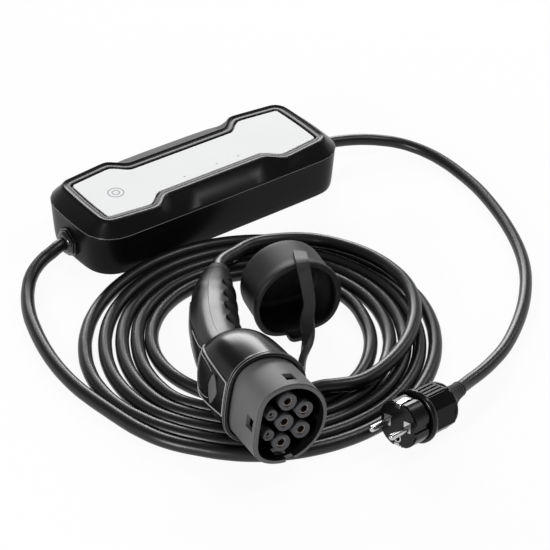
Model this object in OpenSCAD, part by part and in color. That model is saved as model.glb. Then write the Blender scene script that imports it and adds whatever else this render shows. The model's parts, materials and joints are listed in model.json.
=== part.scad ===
/* [Control box] */
// Length of the box at its parting line
case_len = 259; // [254:1:265]
// Width of the box at the middle of its long sides
case_w = 99; // [98:1:104]
// Width of the box at its rounded corners
case_end_w = 97; // [94:1:98]
// Radius of the box corners in plan
case_corner = 28; // [24:1:32]
// Height of the top of the raised rim
case_h = 50; // [48.5:0.5:54]
// Height of the joint between lower case and cover
parting_z = 37.5; // [36.5:0.5:38.5]
// Wall thickness of the two moulded shells
wall = 3.2; // [3:0.1:3.6]
// Length of the bone-shaped face plate
plate_len = 215; // [208:1:218]
// Widest width of the face plate, across a lobe
plate_lobe_w = 65; // [60:1:68]
// Width of the face plate at its ends
plate_end_w = 56; // [52:1:60]
// Width of the face plate along its waist
plate_waist_w = 41; // [36:1:46]

/* [Cables] */
// Diameter of the output cable
out_dia = 11.2; // [10:0.1:12]
// Diameter of the input lead
in_dia = 10.4; // [9:0.1:11]
// Outer radius of the coil on the floor
coil_r = 138.5; // [136:0.5:139]
// Number of turns side by side in the coil
coil_turns = 5; // [4:1:5]

/* [Vehicle connector] */
// Diameter of the connector nose
nose_dia = 66; // [65:0.5:66.5]
// Distance from the nose axis to its flat
nose_flat = 25.3; // [25:0.1:26]
// Visible length of the nose in front of the head
nose_len = 37; // [34:1:42]
// Pitch of the power contacts
contact_pitch = 17; // [16.5:0.5:17]
// Bore radius of the power contacts
power_bore_r = 3; // [2.5:0.1:3.1]
// Bore radius of the two signal contacts
pilot_bore_r = 1.5; // [1.2:0.1:1.6]

/* [Mains plug] */
// Diameter of the plug's front block
plug_dia = 37; // [35:0.5:38]
// Diameter of the two round pins
pin_dia = 4.8; // [4:0.1:4.8]
// Length of the two round pins
pin_len = 19; // [18:0.5:19.5]
// Distance between the two pins
pin_pitch = 19; // [18:0.5:19]

/* [Hidden] */
$fn = 48;
CASE_BLACK = "#17181a";
GLOSS_BLACK = "#0d0d0f";
NOSE_GREY = "#4b4c4f";
RUBBER = "#222325";
BRIGHT = "#c9c9cc";
BRASS = "#b08d57";
BOARD_GREEN = "#1f5b3a";

// Curves shared by the moulded shells
function mix(a, b, t) = a + (b - a) * t;
function clamp(t) = min(1, max(0, t));
function smooth(t) = clamp(t) * clamp(t) * (3 - 2 * clamp(t));
function unit(v) = v / norm(v);
function turn_x(p, a) = [p.x, p.y * cos(a) - p.z * sin(a), p.y * sin(a) + p.z * cos(a)];
function turn_y(p, a) = [p.x * cos(a) + p.z * sin(a), p.y, p.z * cos(a) - p.x * sin(a)];
function turn_z(p, a) = [p.x * cos(a) - p.y * sin(a), p.x * sin(a) + p.y * cos(a), p.z];

// Skin over a list of rings with equally many points, capped at both ends or closed on itself
module loft(rings, closed = false, flip = false) {
    n = len(rings[0]);
    m = len(rings);
    links = closed ? m : m - 1;
    sides = [
        for (i = [0 : links - 1], j = [0 : n - 1])
            let (a = i * n + j, b = i * n + (j + 1) % n)
            let (c = (i + 1) % m * n + (j + 1) % n, d = (i + 1) % m * n + j)
            each flip ? [[a, d, b], [b, d, c]] : [[a, c, b], [a, d, c]]
    ];
    caps = closed ? [] : [
        [for (j = [0 : n - 1]) j],
        [for (j = [n - 1 : -1 : 0]) (m - 1) * n + j]
    ];
    polyhedron([for (r = rings) each r], concat(sides, caps), convexity = 8);
}

// Point on a smooth curve through a route's own points
function spline_point(p, i, t) =
    let (a = p[max(0, i - 1)], b = p[i], c = p[i + 1], d = p[min(len(p) - 1, i + 2)])
    b + 0.5 * t * (c - a + t * (2 * a - 5 * b + 4 * c - d + t * (3 * (b - c) + d - a)));
function smooth_route(p, steps) = concat(
    [for (i = [0 : len(p) - 2], k = [0 : steps - 1]) spline_point(p, i, k / steps)],
    [p[len(p) - 1]]
);

// Round cable swept along a route
module cable(route, dia, sides = 8) {
    last = len(route) - 1;
    loft([
        for (i = [0 : last])
            let (along = unit(route[min(last, i + 1)] - route[max(0, i - 1)]))
            let (across = unit(cross(along, [0, 0, 1])), lift = cross(across, along))
            [for (k = [0 : sides - 1])
                let (a = 360 * k / sides)
                route[i] + dia / 2 * (cos(a) * across - sin(a) * lift)]
    ]);
}

// Plan outlines of the control box: a barrel for the shells, a bone for the rim and plate
END_STEPS = 3;
CORNER_STEPS = 5;
PLAIN_STEPS = [0.8, 0.6, 0.4, 0.2, 0];
BONE_STEPS = [0.9, 0.76, 0.69, 0.65, 0.62, 0.59, 0.56, 0.53, 0.5, 0.46, 0.25, 0];
LOBE_X = 0.646;
WAIST_X = 0.474;
CASE_CROWN = 0.8;
PLATE_CORNER = 3;

function quarter(half, crown, corner, side, steps) =
    let (x0 = half - crown - corner, y0 = side(x0) - corner)
    concat(
        [for (i = [0 : END_STEPS - 1])
            let (f = i / END_STEPS) [half - crown * f * f, f * y0]],
        [for (i = [0 : CORNER_STEPS])
            let (a = 90 * i / CORNER_STEPS) [x0 + corner * cos(a), y0 + corner * sin(a)]],
        [for (f = steps) [f * x0, side(f * x0)]]
    );
function mirrored(q) = let (n = len(q)) concat(
    q,
    [for (i = [n - 2 : -1 : 0]) [-q[i].x, q[i].y]],
    [for (i = [1 : n - 1]) [-q[i].x, -q[i].y]],
    [for (i = [n - 2 : -1 : 1]) [q[i].x, -q[i].y]]
);
function case_side(inset) = function (x)
    case_w / 2 - inset - (case_w - case_end_w) / 2 * pow(2 * x / case_len, 2);
function case_outline(inset, steps) = mirrored(quarter(
    case_len / 2 - inset, CASE_CROWN, max(5, case_corner - inset), case_side(inset), steps));
function plate_side(grow) = let (half = plate_len / 2)
    function (x) grow + (x > LOBE_X * half
        ? mix(plate_lobe_w, plate_end_w, (x / half - LOBE_X) / (1 - LOBE_X)) / 2
        : mix(plate_waist_w, plate_lobe_w,
              smooth((x + 0.3 * grow - WAIST_X * half) / (LOBE_X - WAIST_X) / half)) / 2);
function plate_outline(grow) = mirrored(quarter(
    plate_len / 2 + grow, 0.6, PLATE_CORNER + max(0, grow), plate_side(grow), BONE_STEPS));
function flat_ring(outline, z) = [for (p = outline) [p.x, p.y, z]];
function case_ring(inset, z) = flat_ring(case_outline(inset, PLAIN_STEPS), z);
function cover_ring(inset, z) = flat_ring(case_outline(inset, BONE_STEPS), z);
function plate_ring(grow, z) = flat_ring(plate_outline(grow), z);

// Window under the plate that holds the indicator board's lamps
WINDOW_W = 84;
WINDOW_D = 22;
function window_ring(z) = [
    for (p = plate_outline(0)) [p.x * WINDOW_W / plate_len, p.y * WINDOW_D / plate_lobe_w, z]
];

// Shoulder of the cover: high beside the waist, where the grip pads end, and low round the lobes
SHOULDER_HIGH = 3;
SHOULDER_LOW = 1.4;
function shoulder_ring(inset) = [
    for (p = case_outline(inset, BONE_STEPS))
        [p.x, p.y, parting_z + mix(SHOULDER_HIGH, SHOULDER_LOW, smooth((abs(p.x) - 38) / 26))]
];
RECESS_Z = case_h - 3.1;
PLATE_T = 1.6;
CEILING_Z = RECESS_Z - 2.9;
GROOVE_DEPTH = 1.5;
FLOOR_T = 3;

// Screws that close the case from below, and the posts that they run through
POSTS = [[100, 29], [100, -29], [-100, 29], [-100, -29], [0, 42], [0, -42]];
POST_R = 4.4;
SCREW_R = 1.5;
HEAD_R = 2.8;
HEAD_POCKET = 8;
SCREW_TOP = 40;

// Cable glands at the two ends
GLAND_Z = 16.5;
GLAND_R = 8;
GLAND_SEAT = case_len / 2 - 0.4;
GLAND_INSIDE = case_len / 2 - 7.6;
GLAND_FLANGE_T = 1.6;
GLAND_CAP_LEN = 4.4;
GLAND_NUT_LEN = 1.6;

module at_end(side) translate([0, 0, GLAND_Z]) rotate([0, 90 * side, 0]) children();

BOARD_Z = 10;
BOARD_T = 1.6;
BOARD_TOP = BOARD_Z + BOARD_T;
BOARD_HOLES = [[78, 30], [78, -30], [-78, 30], [-78, -30]];
STANDOFF_R = 3.6;

module lower_case() color(CASE_BLACK) difference() {
    union() {
        loft([
            case_ring(5.2, 0), case_ring(3.1, 0.9), case_ring(2, 3.2), case_ring(0.3, parting_z - 1.2),
            case_ring(0, parting_z),
            case_ring(1.1, parting_z), case_ring(1.1, parting_z - GROOVE_DEPTH),
            case_ring(2.3, parting_z - GROOVE_DEPTH), case_ring(2.3, parting_z),
            case_ring(wall + 0.2, parting_z), case_ring(wall + 2, 8), case_ring(wall + 5, FLOOR_T)
        ]);
        for (p = POSTS)
            translate([p.x, p.y, FLOOR_T - 1]) cylinder(r = POST_R, h = parting_z - FLOOR_T + 1);
        for (p = BOARD_HOLES)
            translate([p.x, p.y, FLOOR_T - 1]) cylinder(r = STANDOFF_R, h = BOARD_Z - FLOOR_T + 1);
        for (side = [-1, 1])
            at_end(side) translate([0, 0, GLAND_INSIDE])
                cylinder(r = 13, h = GLAND_SEAT - GLAND_INSIDE);
    }
    for (p = POSTS) {
        translate([p.x, p.y, -1]) cylinder(r = SCREW_R, h = parting_z + 2);
        translate([p.x, p.y, -1]) cylinder(r = HEAD_R, h = HEAD_POCKET + 1);
    }
    for (p = BOARD_HOLES)
        translate([p.x, p.y, FLOOR_T + 1]) cylinder(r = SCREW_R, h = BOARD_Z);
    for (side = [-1, 1])
        at_end(side) translate([0, 0, GLAND_INSIDE - 1]) cylinder(r = GLAND_R, h = 20);
}

module upper_cover() color(CASE_BLACK) difference() {
    union() {
        loft([
            plate_ring(-3, CEILING_Z), cover_ring(wall + 1.5, parting_z + 1.4),
            cover_ring(wall + 0.2, parting_z), cover_ring(0.1, parting_z),
            cover_ring(0.5, parting_z + 0.7), shoulder_ring(1),
            plate_ring(10.8, case_h - 2.9), plate_ring(9.8, case_h - 1), plate_ring(8.2, case_h),
            plate_ring(5.6, case_h - 1.4), plate_ring(4.4, case_h - 1.1), plate_ring(2.4, case_h - 1.3),
            plate_ring(1.5, RECESS_Z),
            window_ring(RECESS_Z), window_ring(CEILING_Z)
        ], closed = true);
        for (p = POSTS)
            translate([p.x, p.y, parting_z]) cylinder(r = POST_R, h = p.x == 0 ? 3 : 7);
    }
    for (p = POSTS)
        translate([p.x, p.y, parting_z - 1]) cylinder(r = SCREW_R, h = SCREW_TOP - parting_z + 1);
}

module face_plate() color("#e9eaec")
    translate([0, 0, RECESS_Z]) linear_extrude(PLATE_T) polygon(plate_outline(0));

module case_gasket() color(RUBBER) loft([
    case_ring(1.1, parting_z - GROOVE_DEPTH), case_ring(1.1, parting_z),
    case_ring(2.3, parting_z), case_ring(2.3, parting_z - GROOVE_DEPTH)
], closed = true);

module case_screws() color(BRIGHT) for (p = POSTS)
    translate([p.x, p.y, 0]) {
        translate([0, 0, HEAD_POCKET]) cylinder(r = SCREW_R, h = SCREW_TOP - HEAD_POCKET);
        translate([0, 0, HEAD_POCKET - 2.4]) difference() {
            cylinder(r = HEAD_R, h = 2.4);
            for (a = [0, 90])
                rotate(a) translate([-1.7, -0.35, -1]) cube([3.4, 0.7, 2.2]);
        }
    }

module main_board() color(BOARD_GREEN) translate([0, 0, BOARD_Z]) linear_extrude(BOARD_T) difference() {
    square([172, 70], center = true);
    for (p = BOARD_HOLES) translate(p) circle(r = SCREW_R + 0.3);
}

module board_screws() color(BRIGHT) for (p = BOARD_HOLES)
    translate([p.x, p.y, 0]) {
        translate([0, 0, FLOOR_T + 1.5]) cylinder(r = SCREW_R, h = BOARD_TOP - FLOOR_T - 1.5);
        translate([0, 0, BOARD_TOP]) cylinder(r = HEAD_R, h = 2);
    }

module power_relays() color("#2a3f6b") for (y = [-14, 14])
    translate([-30, y, BOARD_TOP]) linear_extrude(21) square([30, 17], center = true);

// Ring that compares the currents in the conductors which run through it
module current_sensor() color("#8a6a2c") translate([-62, 0, BOARD_TOP + 11]) rotate([0, 90, 0])
    rotate_extrude() translate([8, 0]) square([6, 9], center = true);

module supply_transformer() color("#c9a227") translate([18, 14, BOARD_TOP]) {
    linear_extrude(5) square([28, 24], center = true);
    translate([0, 0, 5]) linear_extrude(12) square([18, 20], center = true);
    translate([0, 0, 17]) linear_extrude(4) square([28, 24], center = true);
}

module smoothing_capacitors() color("#26262c") for (x = [42, 56])
    translate([x, 16, BOARD_TOP]) cylinder(r = 6, h = 20);

module controller_chip() color("#1b1b1d")
    translate([36, -16, BOARD_TOP]) linear_extrude(1.6) square([12, 12], center = true);

module terminal_block(x) translate([x, -8, BOARD_TOP]) difference() {
    linear_extrude(14) square([10, 36], center = true);
    for (i = [-1 : 1])
        translate([0, 11 * i, 5]) cylinder(r = 2.4, h = 12);
}
module input_terminals() color("#2d7d46") terminal_block(66);
module output_terminals() color("#2d7d46") terminal_block(-76);

LAMP_XS = [-30, 0, 30];
module indicator_board() color(BOARD_GREEN)
    translate([0, 0, CEILING_Z - 1.6]) linear_extrude(1.6) square([100, 30], center = true);
module indicator_lamps() color("#dfe8d8") for (x = LAMP_XS)
    translate([x, -5, CEILING_Z]) cylinder(r = 1.6, h = RECESS_Z - CEILING_Z);

// Hexagon with rounded edges, as on a moulded nut
module nut(across, len) intersection() {
    cylinder(d = across / cos(30), h = len, $fn = 6);
    cylinder(d = across * 1.09, h = len);
}

module gland_body(bore) difference() {
    union() {
        translate([0, 0, GLAND_SEAT]) nut(24, GLAND_FLANGE_T);
        translate([0, 0, GLAND_INSIDE - 8]) cylinder(r = GLAND_R, h = GLAND_SEAT - GLAND_INSIDE + 8);
    }
    translate([0, 0, GLAND_INSIDE - 9]) cylinder(d = bore, h = 40);
}
// Dome nut that squeezes the seal round the cable
module gland_dome(bore) translate([0, 0, GLAND_SEAT + GLAND_FLANGE_T]) difference() {
    union() {
        nut(21, GLAND_NUT_LEN);
        rotate_extrude() polygon([
            [0, GLAND_NUT_LEN], [10, GLAND_NUT_LEN],
            for (a = [0 : 15 : 75])
                [7 + 3 * cos(a), mix(GLAND_NUT_LEN, GLAND_CAP_LEN, sin(a))],
            [7, GLAND_CAP_LEN], [0, GLAND_CAP_LEN]
        ]);
    }
    translate([0, 0, -1]) cylinder(d = bore, h = 20);
}
module locknut() translate([0, 0, GLAND_INSIDE - 4.5]) difference() {
    nut(22, 4.5);
    translate([0, 0, -1]) cylinder(r = GLAND_R, h = 8);
}
module output_gland() color(GLOSS_BLACK) at_end(-1) gland_body(out_dia + 0.1);
module output_gland_cap() color(GLOSS_BLACK) at_end(-1) gland_dome(out_dia + 0.1);
module output_locknut() color(GLOSS_BLACK) at_end(-1) locknut();
module input_gland() color(GLOSS_BLACK) at_end(1) gland_body(in_dia + 0.1);
module input_gland_cap() color(GLOSS_BLACK) at_end(1) gland_dome(in_dia + 0.1);
module input_locknut() color(GLOSS_BLACK) at_end(1) locknut();

// Output cable: a lead from the box and a flat coil
COIL_AT = [-68, -191.5];
COIL_IN = coil_r - coil_turns * (out_dia + 0.2);
LEAD_POINTS = [
    [-118, 0, GLAND_Z], [-134, 0, GLAND_Z], [-141, -1.4, GLAND_Z - 0.6], [-155.5, -4, 12.3],
    [-167, -9, 9.7], [-183.5, -25, 6.5], [-201.5, -58, 5.7], [-211, -89, 5.7], [-217, -122, 5.7],
    [-218, -156, 5.7], [-215, -190, 5.7], [-209.6, -222, 5.7], [-202.4, -246, 5.7]
];
module output_lead() color(RUBBER) cable(smooth_route(LEAD_POINTS, 2), out_dia);
module output_coil() color(RUBBER) translate(COIL_AT) rotate_extrude($fn = 96)
    translate([COIL_IN, 0]) hull() for (x = [out_dia / 2, coil_r - COIL_IN - out_dia / 2])
        translate([x, out_dia / 2]) circle(d = out_dia, $fn = 16);

// Vehicle connector in its own frame: X across, Y towards the flat, Z out of the mouth
FACE_AT = [-148.7, -324.8, 52.4];
FACE_YAW = -8.7;
FACE_PITCH = -4.75;
FACE_ROLL = 9.8;
module at_connector() translate(FACE_AT) rotate([0, 0, FACE_YAW]) rotate([FACE_PITCH, 0, 0])
    rotate([0, FACE_ROLL, 0]) rotate([0, -90, 90]) children();
function from_connector(p) = FACE_AT
    + turn_z(turn_x(turn_y(turn_z(turn_y(p, -90), 90), FACE_ROLL), FACE_PITCH), FACE_YAW);

// Radius at an angle of a circle with a flat on top and of a full oval
EDGE_POWER = 9;
OVAL_POWER = 2.3;
function dee(r, flat, a) =
    pow(pow(1 / r, EDGE_POWER) + pow(max(0, sin(a)) / flat, EDGE_POWER), -1 / EDGE_POWER);
function oval(half_w, half_h, a) =
    pow(pow(abs(cos(a)) / half_w, OVAL_POWER) + pow(abs(sin(a)) / half_h, OVAL_POWER), -1 / OVAL_POWER);
function dee_outline(r, flat, steps = 60) = [
    for (i = [0 : steps - 1]) let (a = 360 * i / steps) dee(r, flat, a) * [cos(a), sin(a)]
];

NOSE_R = nose_dia / 2;
NOSE_WALL = 3.4;
SEAT_GAP = 1.4;
INSERT_Z = -30;
INSERT_T = 10;
NOSE_BACK = nose_len + 12;
POWER_AT = [
    [0, 0], [contact_pitch, 0], [-contact_pitch, 0],
    [contact_pitch / 2, -contact_pitch * 0.866], [-contact_pitch / 2, -contact_pitch * 0.866]
];
PILOT_AT = [[8.3, 12.1], [-8.3, 12.1]];
POWER_R = 3.9;
PILOT_R = 2.3;
SLEEVE_END = -2.5;
CONTACT_END = -4;
CONTACT_BACK = -NOSE_BACK - 4;
BORE_DEPTH = 26;

module nose_shell() color(NOSE_GREY) at_connector() difference() {
    union() {
        translate([0, 0, -1.2]) linear_extrude(1.2) polygon(dee_outline(NOSE_R - 0.8, nose_flat - 0.8));
        translate([0, 0, -NOSE_BACK]) linear_extrude(NOSE_BACK - 1.2)
            polygon(dee_outline(NOSE_R, nose_flat));
        translate([0, 0, -NOSE_BACK]) linear_extrude(4)
            polygon(dee_outline(NOSE_R + SEAT_GAP - 0.6, nose_flat + SEAT_GAP - 0.6));
    }
    translate([0, 0, -NOSE_BACK - 1]) linear_extrude(NOSE_BACK + 2)
        polygon(dee_outline(NOSE_R - NOSE_WALL, nose_flat - NOSE_WALL));
    for (side = [-1, 1])
        translate([side * NOSE_R - 5, -7.2, -15.5]) cube([10, 8.4, 8.4]);
    translate([-4.75, nose_flat - 5, -14.5]) cube([9.5, 10, 9.5]);
    translate([-NOSE_R - 2, -12, -4]) cube([7, 8, 5]);
}

module contact_insert() color(NOSE_GREY) at_connector() difference() {
    union() {
        translate([0, 0, INSERT_Z - INSERT_T]) linear_extrude(INSERT_T)
            polygon(dee_outline(NOSE_R - NOSE_WALL, nose_flat - NOSE_WALL));
        for (p = POWER_AT)
            translate([p.x, p.y, INSERT_Z - 1]) cylinder(d = 13.4, h = SLEEVE_END - INSERT_Z + 1);
        for (p = PILOT_AT)
            translate([p.x, p.y, INSERT_Z - 1]) cylinder(d = 8.8, h = SLEEVE_END - INSERT_Z + 1);
    }
    for (p = POWER_AT)
        translate([p.x, p.y, INSERT_Z - INSERT_T - 1]) cylinder(r = POWER_R, h = 60);
    for (p = PILOT_AT)
        translate([p.x, p.y, INSERT_Z - INSERT_T - 1]) cylinder(r = PILOT_R, h = 60);
}

// Turned sleeve with a blind bore for the vehicle's pin
module contact(r, bore_r) rotate_extrude() polygon([
    [0, CONTACT_BACK], [r, CONTACT_BACK], [r, CONTACT_END - 0.8], [r - 0.5, CONTACT_END],
    [bore_r, CONTACT_END], [bore_r, CONTACT_END - BORE_DEPTH], [0, CONTACT_END - BORE_DEPTH - 1]
]);
module power_contacts() color(BRASS) at_connector() for (p = POWER_AT)
    translate(p) contact(POWER_R, power_bore_r);
module pilot_contacts() color(BRASS) at_connector() for (p = PILOT_AT)
    translate(p) contact(PILOT_R, pilot_bore_r);
module contact_retainer() color(GLOSS_BLACK) at_connector() difference() {
    translate([0, 0, -NOSE_BACK]) linear_extrude(NOSE_BACK + INSERT_Z - INSERT_T)
        polygon(dee_outline(NOSE_R - NOSE_WALL, nose_flat - NOSE_WALL));
    for (p = POWER_AT) translate([p.x, p.y, -NOSE_BACK - 1]) cylinder(r = POWER_R, h = 20);
    for (p = PILOT_AT) translate([p.x, p.y, -NOSE_BACK - 1]) cylinder(r = PILOT_R, h = 20);
}

// Sections of the head: distance behind the face, radius and flat of the outer and inner skin
NECK_Z = 97;
HEAD_OUT = [
    [nose_len, 36, 28.3], [nose_len + 1, 37.3, 29.6], [nose_len + 5, 37.3, 29.6],
    [nose_len + 6, 36.2, 28.6], [nose_len + 7.5, 36.2, 28.6], [60, 36.3, 29.2], [74, 35.4, 29.6],
    [83, 33, 29], [89, 29.8, 27.4], [94, 26, 25], [NECK_Z, 23, 23]
];
HEAD_IN = [
    [NECK_Z, 19.5, 19.5], [87, 26, 24], [70, 31, 25], [NOSE_BACK + 4, 32, 25.6],
    [NOSE_BACK, 33, 26], [NOSE_BACK, NOSE_R + SEAT_GAP, nose_flat + SEAT_GAP],
    [nose_len, NOSE_R + SEAT_GAP, nose_flat + SEAT_GAP]
];
// Sections of the grip: distance behind the face, height, half width and half height
GRIP = [
    [NECK_Z, 0, 20.6, 21.2], [110, -2.5, 19.4, 19.6], [126, -7.5, 19, 19], [142, -13.6, 19.2, 18.8],
    [157, -20.6, 19.2, 18.4], [172, -28, 18.4, 17.8], [187, -36, 16.8, 16.4], [200, -44, 14.8, 14.4],
    [210, -50.2, 12.8, 12.6]
];
GRIP_STEPS = 3;
GRIP_WALL = 3;
GRIP_SEAM = 72;
GRIP_LINE = smooth_route(GRIP, GRIP_STEPS);
GRIP_LAST = len(GRIP_LINE) - 1;

// Panel on the upper side and rubber pad on the lower side lie in recesses of the skin
PANEL_DEPTH = 1.1;
PANEL_PROUD = 0.5;
PANEL_HEAD = 25;
PANEL_NECK = 36;
PANEL_TIP = 3;
PANEL_RINGS = 15;
PAD_FIRST = 4;
PAD_LAST = 19;
PAD_DEPTH = 1.8;
PAD_WAVES = 4;
SKIN_STEPS = 3;
PATCH_STEPS = 6;
HALF_STEPS = 2 * SKIN_STEPS + PATCH_STEPS + 2;

function spread(from, to, steps) = [for (i = [0 : steps]) mix(from, to, i / steps)];
// Part of a section, from one side over the patch to the other, as pairs of angle and depth
function half_skin(middle, span, reach, depth) = depth == 0
    ? [for (a = spread(middle - span, middle + span, HALF_STEPS)) [a, 0]]
    : concat(
        [for (a = spread(middle - span, middle - reach, SKIN_STEPS)) [a, 0]],
        [for (a = spread(middle - reach, middle + reach, PATCH_STEPS)) [a, -depth]],
        [for (a = spread(middle + reach, middle + span, SKIN_STEPS)) [a, 0]]
    );
function patch(middle, reach, low, high) = concat(
    [for (a = spread(middle - reach, middle + reach, PATCH_STEPS)) [a, high]],
    [for (a = spread(middle + reach, middle - reach, PATCH_STEPS)) [a, low]]
);
function panel_reach_head(z) = mix(PANEL_HEAD, PANEL_NECK, clamp((z - nose_len) / (NECK_Z - nose_len)));
function panel_reach_grip(i) = i > PANEL_RINGS ? 1 : mix(PANEL_NECK, PANEL_TIP, i / PANEL_RINGS);
function panel_depth_grip(i) = i > PANEL_RINGS ? 0 : PANEL_DEPTH;
function pad_wave(i) = cos(360 * PAD_WAVES * (i - PAD_FIRST) / (PAD_LAST - PAD_FIRST));
function in_pad(i) = i >= PAD_FIRST && i <= PAD_LAST;
function pad_reach(i) = in_pad(i) ? 66 - 9 * pad_wave(i) : 40;
function pad_depth(i) = in_pad(i) ? PAD_DEPTH : 0;

// Points of a head or grip section for pairs of angle and offset
function head_points(s, pairs) = [
    for (p = pairs) let (r = dee(s[1], s[2], p[0]) + p[1]) [r * cos(p[0]), r * sin(p[0]), -s[0]]
];
function grip_tilt(i) =
    let (a = GRIP_LINE[max(0, i - 1)], b = GRIP_LINE[min(GRIP_LAST, i + 1)])
    i == 0 ? 0 : atan2(a[1] - b[1], b[0] - a[0]);
function grip_points(i, pairs) = let (s = GRIP_LINE[i], tilt = grip_tilt(i)) [
    for (p = pairs)
        let (r = oval(s[2], s[3], p[0]) + p[1], up = r * sin(p[0]))
        [r * cos(p[0]), s[1] + up * cos(tilt), -s[0] - up * sin(tilt)]
];
function reversed(list) = [for (i = [len(list) - 1 : -1 : 0]) list[i]];
function head_skin(s, depth) = head_points(s, concat(
    half_skin(90, 90, panel_reach_head(s[0]), depth),
    [for (a = [198 : 18 : 342]) [a, 0]]
));

module connector_head() color(GLOSS_BLACK) at_connector() loft(concat(
    [for (s = reversed(HEAD_OUT)) head_skin(s, s[0] > nose_len + 5.5 ? PANEL_DEPTH : 0)],
    [for (s = reversed(HEAD_IN)) head_skin(s, 0)]
), closed = true);

module grip_half(middle, span, reach, depth) loft([
    for (i = [GRIP_LAST : -1 : 0])
        grip_points(i, concat(
            half_skin(middle, span, reach(i), depth(i)),
            [for (p = reversed(half_skin(middle, span, reach(i), 0))) [p[0], -GRIP_WALL]]
        ))
]);
module grip_upper() color(GLOSS_BLACK) at_connector()
    grip_half(90, GRIP_SEAM, function (i) panel_reach_grip(i), function (i) panel_depth_grip(i));
module grip_lower() color(GLOSS_BLACK) at_connector()
    grip_half(270, 180 - GRIP_SEAM, function (i) pad_reach(i), function (i) pad_depth(i));

module top_panel() color("#1c1c1f") at_connector() loft(concat(
    [for (i = [PANEL_RINGS : -1 : 0])
        grip_points(i, patch(90, panel_reach_grip(i), -PANEL_DEPTH, PANEL_PROUD))],
    [for (s = reversed(HEAD_OUT)) if (s[0] > nose_len + 5.5)
        head_points(s, patch(90, panel_reach_head(s[0]), -PANEL_DEPTH, PANEL_PROUD))]
), flip = true);
module finger_pad() color(RUBBER) at_connector() loft([
    for (i = [PAD_LAST : -1 : PAD_FIRST])
        grip_points(i, patch(270, pad_reach(i), -PAD_DEPTH, 0.9 - 1.3 * pad_wave(i)))
], flip = true);

// Lens-shaped rest for the thumb across the panel, near the front of the head
THUMB_FROM = 53;
THUMB_TO = 65;
THUMB_RINGS = 8;
function thumb_reach(f) = 2 + 20 * sin(180 * f);
function head_at(z) =
    let (i = [for (k = [0 : len(HEAD_OUT) - 2]) if (HEAD_OUT[k + 1][0] >= z) k][0])
    let (f = (z - HEAD_OUT[i][0]) / (HEAD_OUT[i + 1][0] - HEAD_OUT[i][0]))
    mix(HEAD_OUT[i], HEAD_OUT[i + 1], f);
module thumb_pad() color("#3a3a3d") at_connector() loft([
    for (k = [THUMB_RINGS : -1 : 0])
        let (f = k / THUMB_RINGS)
        head_points(head_at(mix(THUMB_FROM, THUMB_TO, f)),
            patch(90, thumb_reach(f), PANEL_PROUD, PANEL_PROUD + 0.3 + sin(180 * f)))
]);

// Ribbed bush where the cable enters the grip
BOOT_LEN = 15;
BOOT_TILT = grip_tilt(GRIP_LAST);
function boot_point(z) = [
    0, GRIP_LINE[GRIP_LAST][1] - z * sin(BOOT_TILT), -GRIP_LINE[GRIP_LAST][0] - z * cos(BOOT_TILT)
];
module grip_boot() color(RUBBER) at_connector()
    translate(boot_point(0)) rotate([180 - BOOT_TILT, 0, 0])
        difference() {
            rotate_extrude() polygon([
                [0, 0], [11.4, 0], [11.4, 3], [10, 3], [10, 5], [10.6, 5], [10.4, 8], [9.2, 8], [9.2, 10],
                [9.8, 10], [9.4, 13], [8, BOOT_LEN], [0, BOOT_LEN]
            ]);
            translate([0, 0, -1]) cylinder(d = out_dia, h = BOOT_LEN + 2);
        }

// Strand that crosses over the coil to the connector
TAIL_POINTS = concat([
    [-142.3, -206, 5.7], [-132.8, -230.7, 6], [-115.2, -251.1, 8], [-95.6, -265, 13], [-76, -272.5, 17.2],
    [-49.3, -283.6, 17.2], [-20, -280.5, 17.2], [14, -266, 17.2], [44.6, -239.8, 17.2], [62.6, -206.6, 17.2],
    [64, -168.7, 17.2], [53.1, -136.6, 17.2], [35.3, -112.5, 17.2], [13, -98, 17.2], [-8, -92.5, 18.2]
], [for (z = [BOOT_LEN + 16, BOOT_LEN, 0]) from_connector(boot_point(z))]);
module output_tail() color(RUBBER) cable(smooth_route(TAIL_POINTS, 2), out_dia);

// Dust cap in its own frame: X across, Y towards the flat, Z out of the mouth
CAP_AT = [-36.2, -192.5, 30.2];
CAP_YAW = -15;
CAP_PITCH = -1.8;
CAP_R = 35.6;
CAP_FLAT = 28.6;
CAP_WALL = 3;
CAP_LEN = 41;
CAP_BEAD = 1.6;
module at_cap() translate(CAP_AT) rotate([0, 0, CAP_YAW]) rotate([CAP_PITCH, 0, 0])
    rotate([90, 0, 0]) rotate([0, 0, 180]) children();
function cap_ring(grow, z) = [for (p = dee_outline(CAP_R + grow, CAP_FLAT + grow, 38)) [p.x, p.y, z]];

module dust_cap() color(RUBBER) at_cap() {
    loft([
        cap_ring(-6, -CAP_LEN), cap_ring(-2, -CAP_LEN + 0.8), cap_ring(-0.5, -CAP_LEN + 3),
        cap_ring(0, -CAP_LEN + 6), cap_ring(0, -5), cap_ring(CAP_BEAD, -4.2), cap_ring(CAP_BEAD, -1),
        cap_ring(CAP_BEAD - 0.8, 0), cap_ring(-CAP_WALL + 0.8, 0), cap_ring(-CAP_WALL, -1),
        cap_ring(-CAP_WALL, -CAP_LEN + 6), cap_ring(-CAP_WALL - 3, -CAP_LEN + CAP_WALL)
    ]);
    difference() {
        translate([0, CAP_FLAT - 2.4, -3]) rotate([-90, 0, 0]) linear_extrude(3.6) hull() {
            translate([-10, -1]) square([20, 2]);
            for (x = [-5, 5]) translate([x, -8]) circle(r = 5, $fn = 24);
        }
        translate([-12, CAP_FLAT - 10, -10]) cube([24, 20, 9.5]);
    }
}

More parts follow.
